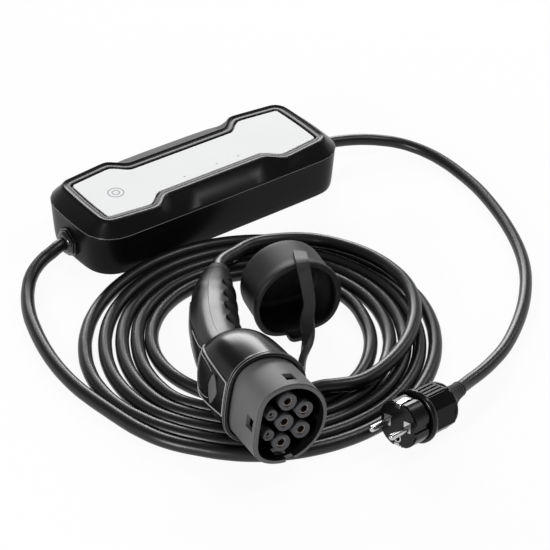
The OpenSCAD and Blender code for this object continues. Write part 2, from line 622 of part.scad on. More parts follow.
// Tether: a flat strap from the top of the cap, down past its mouth and across to the head
STRAP = [
    [-25.1, -177.3, 66, 10.6, -11], [-31, -186.7, 68.5, 10.6, -6], [-35, -193.8, 69.2, 10.6, -2],
    [-34.1, -194.7, 63.1, 10.6, 0], [-34, -195.9, 59.5, 10.4, 0], [-34.1, -198.6, 52.3, 10.2, 0],
    [-33.9, -202.1, 40.8, 9.8, 0], [-34.6, -204.2, 34, 9.4, 5], [-38.4, -206.1, 25.4, 8.4, 10],
    [-39.8, -209.5, 17.5, 7.8, 25], [-41.4, -212.9, 13.2, 7, 45], [-51, -222.4, 9.2, 6.4, 65],
    [-61.3, -231, 10.3, 6.2, 80], [-75, -247, 16, 6, 90], [-87, -260, 24, 5.8, 90], [-99, -272.6, 31, 5.6, 90]
];
STRAP_T = 2.6;
module cap_strap() color(RUBBER) {
    line = smooth_route(STRAP, 2);
    last = len(line) - 1;
    place = function (i) [line[i][0], line[i][1], line[i][2]];
    level = [cos(CAP_YAW), sin(CAP_YAW), 0];
    loft([
        for (i = [0 : last])
            let (along = unit(place(min(last, i + 1)) - place(max(0, i - 1))))
            let (flat = unit(level - (level * along) * along), stand = cross(along, flat))
            let (wide = cos(line[i][4]) * flat + sin(line[i][4]) * stand, thick = cross(along, wide))
            [for (k = [[-1, -1], [1, -1], [1, 1], [-1, 1]])
                place(i) + k.x * line[i][3] / 2 * wide + k.y * STRAP_T / 2 * thick]
    ]);
}

// Mains plug in its own frame: X across, Y up, Z along the pins
PLUG_AT = [-63.1, -346.3, 25];
PLUG_YAW = 7.7;
PLUG_PITCH = 8.5;
PLUG_ROLL = -11;
module at_plug() translate(PLUG_AT) rotate([0, 0, PLUG_YAW]) rotate([0, PLUG_PITCH, 0])
    rotate([PLUG_ROLL, 0, 0]) rotate([90, 0, -90]) children();
function from_plug(p) = PLUG_AT
    + turn_z(turn_y(turn_x(turn_z(turn_x(p, 90), -90), PLUG_ROLL), PLUG_PITCH), PLUG_YAW);
FRONT_LEN = 15;
COLLAR_GAP = 2;
COLLAR_LEN = 5.5;
COLLAR_END = FRONT_LEN + COLLAR_GAP + COLLAR_LEN;
COLLAR_R = 21;
GRIP_END = 46;
RING_END = 49.2;
RING_R = 17.7;
BOOT_LENGTH = 29;
BOOT_GRIP = 8;
PIN_SHANK = 14;
PIN_SHANK_R = 1.9;
CLIP_W = 4.6;
CLIP_SLOT = 7.4;
CLIP_T = 1.2;
EARTH_AT = [0, -10.4];
EARTH_R = 2.5;
EARTH_DEPTH = 16;

module plug_outline() difference() {
    intersection() {
        circle(d = plug_dia);
        square(plug_dia - 2.6, center = true);
    }
    for (s = [-1, 1]) {
        translate([0, s * plug_dia / 2]) square([CLIP_SLOT, 5.4], center = true);
        translate([s * plug_dia / 2, 0]) square([5, 5], center = true);
    }
}
module plug_front() color(GLOSS_BLACK) at_plug() difference() {
    union() {
        translate([0, 0, -FRONT_LEN]) linear_extrude(FRONT_LEN - 1.2) plug_outline();
        translate([0, 0, -1.2]) linear_extrude(1.2) intersection() {
            plug_outline();
            circle(d = plug_dia - 2);
        }
        translate([0, 0, -FRONT_LEN - COLLAR_GAP]) cylinder(r = 15, h = COLLAR_GAP + 1);
    }
    for (s = [-1, 1])
        translate([s * pin_pitch / 2, 0, -PIN_SHANK]) cylinder(r = PIN_SHANK_R, h = PIN_SHANK + 1);
    translate([EARTH_AT.x, EARTH_AT.y, -EARTH_DEPTH])
        cylinder(r = EARTH_R + 1.1, h = EARTH_DEPTH + 1);
}
// Round-nosed pins on thinner shanks that are moulded into the block, each with a square seat
PIN_NOSE = 1.6;
SEAT = [6.4, 8.4];
SEAT_UP = 1.4;
SEAT_T = 0.6;
module plug_pins() color(BRIGHT) at_plug() for (s = [-1, 1]) translate([s * pin_pitch / 2, 0, 0]) {
    translate([0, SEAT_UP, 0]) linear_extrude(SEAT_T) square(SEAT, center = true);
    rotate_extrude() polygon([
        [0, -PIN_SHANK], [PIN_SHANK_R, -PIN_SHANK], [PIN_SHANK_R, 0], [pin_dia / 2, 0],
        for (a = [0 : 15 : 90])
            [pin_dia / 2 - PIN_NOSE + PIN_NOSE * cos(a), pin_len - PIN_NOSE + PIN_NOSE * sin(a)],
        [0, pin_len]
    ]);
}
// Spring strips at top and bottom of the front block, hooked over its face
module earth_clips() color(BRIGHT) at_plug() for (s = [0, 180])
    rotate(s) translate([-CLIP_W / 2, 0, 0]) rotate([90, 0, 90]) linear_extrude(CLIP_W) polygon([
        [15.8, -FRONT_LEN], [15.8 + CLIP_T, -FRONT_LEN], [17 + CLIP_T, -0.6 * FRONT_LEN],
        [16.4 + CLIP_T, -1.6], [15.8 + CLIP_T, 0], [14.2, 0.9], [14.2, 0], [15.8, 0]
    ]);
module earth_sleeve() color(BRIGHT) at_plug()
    translate([EARTH_AT.x, EARTH_AT.y, -EARTH_DEPTH]) difference() {
    cylinder(r = EARTH_R + 1.1, h = EARTH_DEPTH + 0.4);
    translate([0, 0, 1]) cylinder(r = EARTH_R, h = EARTH_DEPTH);
}
module plug_collar() color(GLOSS_BLACK) at_plug() translate([0, 0, -COLLAR_END])
    rotate_extrude() polygon([
        [0, 0], [COLLAR_R - 2, 0], [COLLAR_R - 0.6, 0.9], [COLLAR_R, 2.2], [COLLAR_R, 3.6],
        [COLLAR_R - 0.8, COLLAR_LEN - 0.7], [COLLAR_R - 2, COLLAR_LEN], [0, COLLAR_LEN]
    ]);
// Eight-sided hand grip with a ribbed patch on top and below
GRIP_FLAT = 33.4;
module plug_grip() color(GLOSS_BLACK) at_plug() translate([0, 0, -GRIP_END]) difference() {
    linear_extrude(GRIP_END - COLLAR_END) intersection() {
        square(GRIP_FLAT, center = true);
        rotate(45) square(GRIP_FLAT + 2, center = true);
    }
    for (s = [-1, 1], i = [0 : 4])
        translate([-8 + 4 * i - 0.8, s * GRIP_FLAT / 2 - 0.9, 2]) cube([1.6, 1.8, GRIP_END - COLLAR_END - 4]);
}
module plug_ring() color(GLOSS_BLACK) at_plug() translate([0, 0, -RING_END])
    rotate_extrude() polygon([
        [0, 0], [RING_R - 2, 0], [RING_R - 0.4, 0.8], [RING_R, 1.8], [RING_R - 0.4, RING_END - GRIP_END],
        [0, RING_END - GRIP_END]
    ]);
// Trumpet-shaped strain relief with shallow grooves, bent towards its lead
BOOT_RIBS = 7;
RIB_PITCH = 3.4;
RIB_DEPTH = 0.4;
function trumpet(z) = 6.2 + 7.4 * pow(z / BOOT_LENGTH, 2.2);
BOOT_TURN = 12;
BOOT_ROOT = 4;
function from_boot(z) = from_plug([-z * sin(BOOT_TURN), 0, -RING_END - z * cos(BOOT_TURN)]);
module plug_boot() color(RUBBER) at_plug() difference() {
    translate([0, 0, -RING_END]) rotate([0, BOOT_TURN, 0]) translate([0, 0, -BOOT_LENGTH]) difference() {
        rotate_extrude() polygon([
            [0, 0], [trumpet(0), 0],
            for (i = [0 : BOOT_RIBS - 1])
                let (z = 2 + RIB_PITCH * i, mouth = z + 0.9)
                each [[trumpet(z), z], [trumpet(z) - RIB_DEPTH, z],
                      [trumpet(mouth) - RIB_DEPTH, mouth], [trumpet(mouth), mouth]],
            [trumpet(BOOT_LENGTH), BOOT_LENGTH], [trumpet(BOOT_LENGTH), BOOT_LENGTH + BOOT_ROOT],
            [0, BOOT_LENGTH + BOOT_ROOT]
        ]);
        translate([0, 0, -1]) cylinder(d = in_dia, h = BOOT_GRIP + 1);
    }
    translate([0, 0, -RING_END]) cylinder(r = RING_R, h = 2 * BOOT_ROOT);
}

// Input lead: from the box round to the mains plug
INPUT_POINTS = concat([
    [118, 0, GLAND_Z], [134, 0, GLAND_Z], [143, -1, GLAND_Z - 0.2], [166.7, -7.5, 14.6], [190.5, -18.7, 11.4],
    [211, -39.9, 8.2], [220.5, -73.6, 6], [216.3, -125.9, 5.3], [207.3, -158.1, 5.3], [196, -187.6, 5.3],
    [166.5, -238.6, 5.3], [147.5, -259.5, 5.3], [126.5, -277.9, 5.3], [103.3, -294.1, 5.4],
    [77.5, -308.6, 6.2], [47, -319.8, 7.8]
], [for (z = [BOOT_LENGTH + 10, BOOT_LENGTH, BOOT_LENGTH - BOOT_GRIP]) from_boot(z)]);
module input_lead() color(RUBBER) cable(smooth_route(INPUT_POINTS, 2), in_dia);

lower_case();
upper_cover();
face_plate();
case_gasket();
case_screws();
main_board();
board_screws();
power_relays();
current_sensor();
supply_transformer();
smoothing_capacitors();
controller_chip();
input_terminals();
output_terminals();
indicator_board();
indicator_lamps();
output_gland();
output_gland_cap();
output_locknut();
input_gland();
input_gland_cap();
input_locknut();
output_lead();
output_coil();
output_tail();
input_lead();
nose_shell();
contact_insert();
power_contacts();
pilot_contacts();
contact_retainer();
connector_head();
grip_upper();
grip_lower();
top_panel();
thumb_pad();
finger_pad();
grip_boot();
dust_cap();
cap_strap();
plug_front();
plug_pins();
earth_clips();
earth_sleeve();
plug_collar();
plug_grip();
plug_ring();
plug_boot();
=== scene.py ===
"""Looks of a portable car charger: control box, coiled output cable with its handled connector and
dust cap, and a short lead with a mains plug. Everything is in metres, in the frame of the solids."""

import json
import math

import bpy
from bpy.props import FloatProperty, FloatVectorProperty, IntProperty, PointerProperty
from bpy.types import Operator, Panel, PropertyGroup
from mathutils import Matrix, Vector

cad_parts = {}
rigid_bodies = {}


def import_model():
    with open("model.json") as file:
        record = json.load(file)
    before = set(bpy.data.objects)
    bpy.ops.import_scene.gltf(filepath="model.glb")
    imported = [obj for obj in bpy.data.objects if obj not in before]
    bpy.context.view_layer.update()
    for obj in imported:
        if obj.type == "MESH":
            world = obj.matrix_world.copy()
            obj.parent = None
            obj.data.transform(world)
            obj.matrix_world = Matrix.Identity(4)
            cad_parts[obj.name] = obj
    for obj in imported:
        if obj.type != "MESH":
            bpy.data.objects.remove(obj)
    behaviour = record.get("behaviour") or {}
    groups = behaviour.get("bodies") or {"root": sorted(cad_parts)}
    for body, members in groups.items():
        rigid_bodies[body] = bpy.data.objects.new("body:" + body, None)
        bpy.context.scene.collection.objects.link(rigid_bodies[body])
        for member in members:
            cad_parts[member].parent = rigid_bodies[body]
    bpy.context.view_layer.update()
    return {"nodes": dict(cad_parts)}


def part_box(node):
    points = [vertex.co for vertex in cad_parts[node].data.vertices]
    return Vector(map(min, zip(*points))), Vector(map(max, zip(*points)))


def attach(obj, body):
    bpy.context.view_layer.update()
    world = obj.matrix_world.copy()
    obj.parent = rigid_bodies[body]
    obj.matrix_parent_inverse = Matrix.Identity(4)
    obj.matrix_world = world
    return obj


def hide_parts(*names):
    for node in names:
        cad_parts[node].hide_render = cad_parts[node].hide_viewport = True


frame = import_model()

bl_info = {
    "name": "Portable car charger",
    "version": (1, 0, 0),
    "blender": (4, 5, 0),
    "location": "3D View > Sidebar > Charger",
    "description": "Dresses the solids of a portable car charger and sets up its studio",
    "category": "Object",
}

MM = 0.001
MICRON = 0.000001


# Routes of the two cables, in millimetres, as the solids have them

LEAD = [
    (-122, 0, 16.5), (-134, 0, 16.5), (-141, -1.4, 15.9), (-148, -2.8, 14.2), (-155.5, -4, 12.3),
    (-167, -9, 9.7), (-175.8, -15.9, 7.9), (-183.5, -25, 6.5), (-192.5, -39, 5.8), (-201.5, -58, 5.7),
    (-211, -89, 5.7), (-217, -122, 5.7), (-218, -156, 5.7), (-213.5, -190, 5.7), (-207, -222, 5.7),
    (-197.9, -245, 5.7),
]
COIL_CENTRE = (-68, -191.5)
# Angle in degrees, counted on from turn to turn, and the cable's radius there
COIL = [
    (215, 136.6), (230, 134.2), (250, 131.3), (270, 130.3), (300, 131), (320, 133.5), (335, 135.8),
    (345, 137.3), (360, 138), (390, 138), (420, 138), (450, 138), (470, 138.6), (490, 140), (510, 140.7),
    (520, 140.5), (530, 139.2), (540, 136.6), (550, 132.8), (560, 129.2), (570, 126),
    (590, 122.8), (610, 120), (630, 119), (660, 119.8), (680, 121.3), (705, 123), (720, 124),
    (750, 125.3), (780, 125.5), (810, 125.3), (830, 125.4), (850, 125.5), (870, 125), (890, 124.3),
    (910, 121.5), (920, 118), (930, 114.8),
    (950, 111.5), (970, 108.7), (990, 107.7), (1020, 108.4), (1040, 109.8), (1065, 111.8), (1080, 112.8),
    (1110, 114), (1140, 114.2), (1170, 114), (1190, 113.8), (1210, 113), (1230, 111.5), (1250, 111),
    (1270, 110), (1280, 106.7), (1290, 103.5),
    (1310, 100.2), (1330, 97.4), (1350, 96.4), (1380, 96.5), (1400, 97.8), (1425, 100), (1440, 101.4),
    (1470, 102.7), (1500, 102.9), (1530, 102.7), (1550, 102.4), (1570, 101.5), (1590, 99.5), (1610, 99.3),
    (1630, 98.8), (1640, 95.4), (1650, 92.2),
    (1670, 88.9), (1690, 86), (1710, 84.5), (1740, 83), (1760, 83), (1785, 85), (1800, 88), (1830, 91),
    (1860, 91.5), (1890, 91.5), (1910, 91.2), (1930, 90), (1950, 88.2), (1970, 84.5), (1980, 82.2),
]
TAIL = [
    (-146, -206.7, 5.7), (-134, -231.2, 6), (-115.2, -251.1, 8), (-95.6, -265, 13),
    (-76, -272.5, 17.2), (-49.3, -283.6, 17.2), (-20, -280.5, 17.2), (14, -266, 17.2),
    (44.6, -239.8, 17.2), (62.6, -206.6, 17.2), (64, -168.7, 17.2), (53.1, -136.6, 17.2),
    (35.3, -112.5, 17.2), (13, -98, 17.2), (-8, -92.5, 18.2), (-48.39, -102.83, 21.54),
    (-58.64, -114.85, 24.1), (-68.25, -126.11, 26.5),
]
INPUT = [
    (122, 0, 16.5), (134, 0, 16.5), (143, -1, 16.3), (155, -4, 15.7), (166.7, -7.5, 14.6),
    (179.3, -12.4, 13), (190.5, -18.7, 11.4), (202, -28, 9.8), (211, -39.9, 8.2), (217.3, -55, 6.9),
    (220.5, -73.6, 6), (220.2, -98, 5.4), (216.3, -125.9, 5.3), (207.3, -158.1, 5.3),
    (196, -187.6, 5.3), (182.6, -214.6, 5.3), (166.5, -238.6, 5.3), (147.5, -259.5, 5.3),
    (126.5, -277.9, 5.3), (103.3, -294.1, 5.4), (77.5, -308.6, 6.2), (47, -319.8, 7.8),
    (21.22, -326.87, 10.56), (11.96, -330.18, 12.4), (4.56, -332.83, 13.87),
]

COIL_HEIGHT = 5.7
# Spacing of the points on the free ends and on the turns
ROUTE_STEP = 18
COIL_STEP = 10


def turned(axis, degrees):
    return Matrix.Rotation(math.radians(degrees), 4, axis)


# The car connector's own frame, in millimetres: middle of the nose's face, mouth along +Z, panel at +Y

CONNECTOR = (
    Matrix.Translation((-148.7, -324.8, 52.4)) @ turned("Z", -8.7) @ turned("X", -4.75)
    @ turned("Y", 9.8) @ turned("Z", 90) @ turned("Y", -90)
)
MOUTH = CONNECTOR.to_3x3() @ Vector((0, 0, 1))
PANEL_SIDE = CONNECTOR.to_3x3() @ Vector((0, 1, 0))
# A point near the middle of the top panel
PANEL_MIDDLE = CONNECTOR @ Vector((0, 30, -75))
# Fine line on the panel: distance from the middle, and place along the nose's axis
PANEL_LINE = [(5.2, -132), (6.9, -116), (8.4, -104), (10.2, -97), (12.9, -88), (14, -77.4),
              (12.6, -69), (11.2, -64.7)]
PANEL_LINE_STEP = 3
# Height from which the line is laid on the panel
ABOVE_PANEL = 60
# Places of the two beads on the head's flange, along the nose's axis
FLANGE_BEADS = (-38.2, -40.4)

# Height of the control box's parting line
PARTING_Z = 38

# Radius of each bead
PARTING_BEAD = 0.3
PANEL_BEAD = 0.65
PANEL_LINE_BEAD = 0.32
FLANGE_BEAD = 0.35

# Print on the face plate, in millimetres: names, places, outer and inner radius
TOUCH_PLACE = (-82.7, -1.6)
TOUCH_RINGS = (("touch_ring", 7.2, 6), ("touch_key", 3.7, 2.5))
LAMP_DOTS = ((-22, -14.3), (12, -13.4), (34.5, -13.6))
LAMP_DOT = (0.9, 0.3)
PRINT_HEIGHT = 0.06


# Settings that a user would change

def colour(name, description, value):
    return FloatVectorProperty(
        name=name, description=description, subtype="COLOR", size=3, min=0, max=1, default=value)


class CableSizes(PropertyGroup):
    """Thickness of the two cables"""
    output_diameter: FloatProperty(
        name="Output cable", description="Thickness of the coiled cable to the car",
        default=0.0112, min=0.006, max=0.02, unit="LENGTH")
    input_diameter: FloatProperty(
        name="Input lead", description="Thickness of the lead from the mains plug",
        default=0.0104, min=0.006, max=0.02, unit="LENGTH")
    sides: IntProperty(
        name="Roundness", description="Steps in a quarter of the cable's cross section",
        default=5, min=2, max=10)


class FinishColours(PropertyGroup):
    """Colours of the visible finishes"""
    case: colour("Case", "Satin black of the control box", (0.004, 0.004, 0.0043))
    plate: colour("Face plate", "Silver of the face plate", (0.82, 0.825, 0.83))
    gloss: colour("Connector", "Gloss black of the connector's head and grip", (0.003, 0.003, 0.0033))
    nose: colour("Nose", "Grey of the connector's nose", (0.1, 0.1, 0.103))
    sleeve: colour("Contact sleeves", "Grey of the sleeves round the contacts", (0.085, 0.085, 0.09))
    rubber: colour("Rubber", "Charcoal of the dust cap and the boots", (0.011, 0.011, 0.0115))
    sheath: colour("Cable", "Black of the cable sheath", (0.005, 0.005, 0.0055))
    trim: colour("Trim line", "Pale line round the connector's top panel", (0.3, 0.3, 0.31))
    # The rest's grey is partly painted light: it stands in for the lit side wall of the raised rest
    thumb: colour("Thumb rest", "Grey of the lens-shaped rest on the top panel", (0.095, 0.095, 0.097))
    brass: colour("Contacts", "Brass of the contact sockets", (0.74, 0.65, 0.61))
    steel: colour("Pins", "Bright plating of the pins and clips", (0.55, 0.55, 0.56))


def power(name, description, value):
    return FloatProperty(name=name, description=description, default=value, min=0, unit="POWER")


class StudioLight(PropertyGroup):
    """Strength of the studio's lamps"""
    back: power("Back softbox", "Power of the large softbox behind", 80)
    top: power("Top softbox", "Power of the softbox above", 12.5)
    right: power("Right strip", "Power of the strip on the right", 2.5)
    left: power("Left lamp", "Power of the small lamp on the left", 10)
    ambient: FloatProperty(
        name="Ambient", description="Brightness of the surroundings above the backdrop", default=0.24,
        min=0, max=1, subtype="FACTOR")


class ChargerSettings(PropertyGroup):
    """All settings of the charger"""
    cables: PointerProperty(type=CableSizes)
    colours: PointerProperty(type=FinishColours)
    light: PointerProperty(type=StudioLight)


# Finishes

# Scales of the slow drift in colour and gloss, and of a metal's grain
MOULDED_DRIFT = 22
METAL_DRIFT = 60
METAL_GRAIN = 1800
METAL_GRAIN_DEPTH = 10
# Black of the painted shade deep in the connector's mouth
PAINTED_SHADE_BLACK = (0.003, 0.003, 0.003)


class Value:
    """A shader socket that takes part in Python sums."""

    def __init__(self, tree, socket):
        self.tree = tree
        self.socket = socket

    def _maths(self, operation, first, second):
        node = self.tree.nodes.new("ShaderNodeMath")
        node.operation = operation
        for slot, item in zip(node.inputs, (first, second)):
            if isinstance(item, Value):
                self.tree.links.new(item.socket, slot)
            else:
                slot.default_value = item
        return Value(self.tree, node.outputs[0])

    def __add__(self, other):
        return self._maths("ADD", self, other)

    def __radd__(self, other):
        return self._maths("ADD", other, self)

    def __mul__(self, other):
        return self._maths("MULTIPLY", self, other)

    def __rmul__(self, other):
        return self._maths("MULTIPLY", other, self)


class Finish:
    """A procedural material on one Principled shader."""

    def __init__(self, name, **fixed):
        self.material = bpy.data.materials.new(name)
        self.material.use_nodes = True
        self.tree = self.material.node_tree
        self.shader = self.tree.nodes["Principled BSDF"]
        self.place = self.node("ShaderNodeTexCoord", out="Object")
        for socket, value in fixed.items():
            self.set(socket.replace("_", " "), value)

    def node(self, kind, settings=None, out=0, **values):
        """Adds a node: its settings first, then the values or links of its sockets. A socket is
        given by name, or as _6 by number."""
        node = self.tree.nodes.new(kind)
        for key, value in (settings or {}).items():
            setattr(node, key, value)
        for key, value in values.items():
            slot = node.inputs[int(key[1:]) if key[1:].isdigit() else key.replace("_", " ")]
            if isinstance(value, Value):
                self.tree.links.new(value.socket, slot)
            else:
                slot.default_value = value
        return Value(self.tree, node.outputs[out])

    def set(self, socket, value):
        """Gives one of the shader's sockets a value or a link."""
        slot = self.shader.inputs[socket]
        if isinstance(value, Value):
            self.tree.links.new(value.socket, slot)
        elif slot.type == "RGBA":
            slot.default_value = (*value, 1)
        else:
            slot.default_value = value

    def noise(self, scale, detail, rough=0.5):
        return self.node("ShaderNodeTexNoise", Vector=self.place, Scale=scale, Detail=detail,
                         Roughness=rough)

    def between(self, mask, dark, light):
        """A colour between two, by a mask."""
        return self.node("ShaderNodeMix", {"data_type": "RGBA"}, 2, _0=mask, _6=(*dark, 1),
                         _7=(*light, 1))

    def paint_shade_deep(self, colour, painted_shade_depths):
        """Turns a colour black between two distances behind the connector's face: painted shade deep in
        the mouth.
        """
        if not painted_shade_depths:
            return colour
        start, end = painted_shade_depths
        face = MOUTH.dot(CONNECTOR.translation)
        along = self.node("ShaderNodeVectorMath", {"operation": "DOT_PRODUCT"}, 1, _0=self.place,
                          _1=tuple(MOUTH))
        mask = self.node("ShaderNodeMapRange", Value=along, From_Min=(face - start) * MM,
                         From_Max=(face - end) * MM)
        return self.node("ShaderNodeMix", {"data_type": "RGBA"}, 2, _0=mask, _6=colour,
                         _7=(*PAINTED_SHADE_BLACK, 1))

    def bump(self, height, microns):
        self.set("Normal", self.node("ShaderNodeBump", Height=height, Distance=microns * MICRON))


def shade(rgb, factor):
    return tuple(min(1.0, c * factor) for c in rgb)


def moulded(name, rgb, roughness, grain, depth, spread=0.06, level=0.5, painted_shade_depths=None, tone=0.22):
    """Moulded plastic or rubber: a fine grain, its depth in microns, and a slow drift of colour and
    gloss."""
    finish = Finish(name, Specular_IOR_Level=level)
    drift = finish.noise(MOULDED_DRIFT, 3)
    fine = finish.noise(grain, 3, 0.6)
    mixed = finish.between(drift, shade(rgb, 1 - tone), shade(rgb, 1 + tone))
    # Deep in the connector's mouth the colour turns black: painted shade
    finish.set("Base Color", finish.paint_shade_deep(mixed, painted_shade_depths))
    finish.set("Roughness", roughness - spread + drift * spread + fine * spread)
    finish.bump(fine, depth)
    return finish.material


def plated(name, rgb, roughness, painted_shade_depths=None):
    """Bare or plated metal with a fine drawn grain."""
    finish = Finish(name, Metallic=1.0)
    drift = finish.noise(METAL_DRIFT, 3)
    fine = finish.noise(METAL_GRAIN, 4, 0.7)
    mixed = finish.between(drift, shade(rgb, 0.88), shade(rgb, 1.06))
    # Deep in the connector's mouth the colour turns black: painted shade
    finish.set("Base Color", finish.paint_shade_deep(mixed, painted_shade_depths))
    finish.set("Roughness", roughness + drift * 0.08 + fine * 0.06)
    finish.bump(fine, METAL_GRAIN_DEPTH)
    return finish.material


FINISHES = {}


def make_finishes(colours):
    """Makes every finish once."""
    if FINISHES:
        return
    FINISHES.update(
        case=moulded("satin_case", colours.case, 0.29, 2600, 2, spread=0.03, level=0.16),
        tub=moulded("satin_tub", colours.case, 0.3, 2600, 2, spread=0.03, level=0.08),
        plate=moulded("silver_plate", colours.plate, 0.55, 3800, 10, level=0.05, tone=0.03),
        gloss=moulded("gloss_black", colours.gloss, 0.24, 900, 2, spread=0.04, level=0.24),
        gland=moulded("gloss_gland", colours.gloss, 0.2, 900, 2, spread=0.02, level=0.75),
        satin=moulded("satin_grip", colours.gloss, 0.31, 1200, 3, spread=0.04, level=0.24),
        panel=moulded("gloss_panel", colours.gloss, 0.26, 900, 3, spread=0.04, level=0.12),
        nose=moulded("grey_nose", colours.nose, 0.5, 2400, 10, level=0.35),
        # The sleeves fade to black deeper in the mouth: painted shade
        sleeve=moulded("grey_sleeves", colours.sleeve, 0.5, 2400, 20, level=0.12, painted_shade_depths=(4.5, 11)),
        # Black of the finger pad, and painted shade on the inside wall of the nose's mouth
        well=moulded("black_pad_and_painted_well_shade", colours.case, 0.5, 2400, 10, level=0.15),
        rubber=moulded("charcoal_rubber", colours.rubber, 0.55, 1500, 10, level=0.3),
        sheath=moulded("cable_sheath", colours.sheath, 0.34, 900, 1, spread=0.01, level=0.42),
        trim=moulded("pale_trim", colours.trim, 0.4, 2400, 10),
        strap=moulded("charcoal_strap", shade(colours.rubber, 3.2), 0.5, 1500, 10, level=0.3),
        # Grey of the parting and flange beads: a painted highlight along those edges
        bead=moulded("grey_bead_painted_highlight", shade(colours.thumb, 1.4), 0.3, 1500, 5, level=0.4),
        # Grey partly painted light, for the rest's lit side wall
        thumb=moulded("grey_thumb_rest", colours.thumb, 0.5, 2000, 20, level=0.3),
        # The brass fades to black deep in the sockets: painted shade
        brass=plated("contact_brass", colours.brass, 0.24, painted_shade_depths=(8, 18)),
        steel=plated("bright_steel", colours.steel, 0.16),
        board=moulded("green_board", (0.01, 0.07, 0.03), 0.45, 1200, 10),
        relay=moulded("relay_case", (0.02, 0.05, 0.12), 0.4, 1800, 10),
        ferrite=moulded("ferrite", (0.03, 0.03, 0.032), 0.6, 900, 30),
        coil_form=moulded("coil_former", (0.35, 0.25, 0.06), 0.5, 900, 20),
        terminal=moulded("terminal_green", (0.02, 0.2, 0.06), 0.45, 1600, 10),
        lamp=moulded("lamp_lens", (0.2, 0.65, 0.3), 0.2, 600, 5),
        mark=moulded("grey_mark", (0.38, 0.39, 0.4), 0.5, 3000, 5, level=0.1),
    )


# Modelling helpers

# Points closer than this are one, in metres
MERGE = 0.000002
# Angles in degrees, below which faces are one flat face, above which edges are broken, and below which
# shading is smooth. Any two triangles meet at less than the last.
FLAT_ANGLE = 0.5
PANEL_FLAT_ANGLE = 35
BROKEN_ANGLE = 34
SMOOTH_ANGLE = 32
SHELL_SMOOTH_ANGLE = 40
COVER_SMOOTH_ANGLE = 50
BEAD_SMOOTH_ANGLE = 60
ANY_ANGLE = 179
# How crisp the edges of a rounded piece stay
CREASE = 0.85
RING_SIDES = 48
BEAD_STEPS = 2
CABLE_STEPS = 5


def deselect():
    if bpy.context.mode != "OBJECT":
        bpy.ops.object.mode_set(mode="OBJECT")
    bpy.ops.object.select_all(action="DESELECT")


def take(piece):
    """Makes one piece the only selected one, and active."""
    deselect()
    piece.select_set(True)
    bpy.context.view_layer.objects.active = piece


def mount(piece, finish, slot, *nodes):
    """Gives a piece its finish and fixes it to the frame in place of its solids."""
    piece.data.materials.clear()
    piece.data.materials.append(FINISHES[finish])
    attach(piece, "root")
    if nodes:
        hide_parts(*nodes)
    return piece


def new_piece(name, data):
    piece = bpy.data.objects.new(name, data)
    bpy.context.scene.collection.objects.link(piece)
    return piece


def merged_copy(node):
    """A copy of a solid's mesh with its loose triangles joined."""
    piece = new_piece(node + "_moulding", frame["nodes"][node].data.copy())
    take(piece)
    bpy.ops.object.mode_set(mode="EDIT")
    bpy.ops.mesh.select_all(action="SELECT")
    bpy.ops.mesh.remove_doubles(threshold=MERGE)
    bpy.ops.mesh.customdata_custom_splitnormals_clear()
    bpy.ops.object.mode_set(mode="OBJECT")
    return piece


def apply_all(piece):
    take(piece)
    for modifier in list(piece.modifiers):
        bpy.ops.object.modifier_apply(modifier=modifier.name)


def smooth(piece, angle=SMOOTH_ANGLE):
    take(piece)
    bpy.ops.object.shade_smooth_by_angle(angle=math.radians(angle))


def soft_shell(node, finish, slot, levels=2, sharp=38):
    """A moulded piece whose facets are smoothed away and whose edges stay crisp."""
    piece = merged_copy(node)
    bpy.ops.object.mode_set(mode="EDIT")
    bpy.ops.mesh.select_all(action="SELECT")
    bpy.ops.mesh.tris_convert_to_quads(
        face_threshold=math.radians(ANY_ANGLE), shape_threshold=math.radians(ANY_ANGLE))
    bpy.ops.mesh.select_mode(type="EDGE")
    bpy.ops.mesh.select_all(action="DESELECT")
    bpy.ops.mesh.edges_select_sharp(sharpness=math.radians(sharp))
    bpy.ops.transform.edge_crease(value=CREASE)
    bpy.ops.object.mode_set(mode="OBJECT")
    rounding = piece.modifiers.new("rounding", "SUBSURF")
    rounding.levels = rounding.render_levels = levels
    apply_all(piece)
    smooth(piece, SHELL_SMOOTH_ANGLE)
    return mount(piece, finish, slot, node)


def edged_copy(node, finish, slot, width=0.4, steps=2):
    """A copy of a solid with its sharp edges broken and its flat faces shaded flat."""
    piece = merged_copy(node)
    bpy.ops.object.mode_set(mode="EDIT")
    bpy.ops.mesh.select_all(action="SELECT")
    bpy.ops.mesh.dissolve_limited(angle_limit=math.radians(FLAT_ANGLE))
    bpy.ops.object.mode_set(mode="OBJECT")
    bevel = piece.modifiers.new("broken_edges", "BEVEL")
    bevel.width = width * MM
    bevel.segments = steps
    bevel.limit_method = "ANGLE"
    bevel.angle_limit = math.radians(BROKEN_ANGLE)
    apply_all(piece)
    smooth(piece)
    flat = piece.modifiers.new("flat_faces", "WEIGHTED_NORMAL")
    flat.keep_sharp = True
    apply_all(piece)
    return mount(piece, finish, slot, node)


def tube(piece, radius, finish, slot):
    """Turns a line of edges into a round bead."""
    take(piece)
    bpy.ops.object.convert(target="CURVE")
    piece.data.bevel_depth = radius * MM
    piece.data.bevel_resolution = BEAD_STEPS
    piece.data.use_fill_caps = True
    bpy.ops.object.convert(target="MESH")
    smooth(piece, BEAD_SMOOTH_ANGLE)
    return mount(piece, finish, slot)


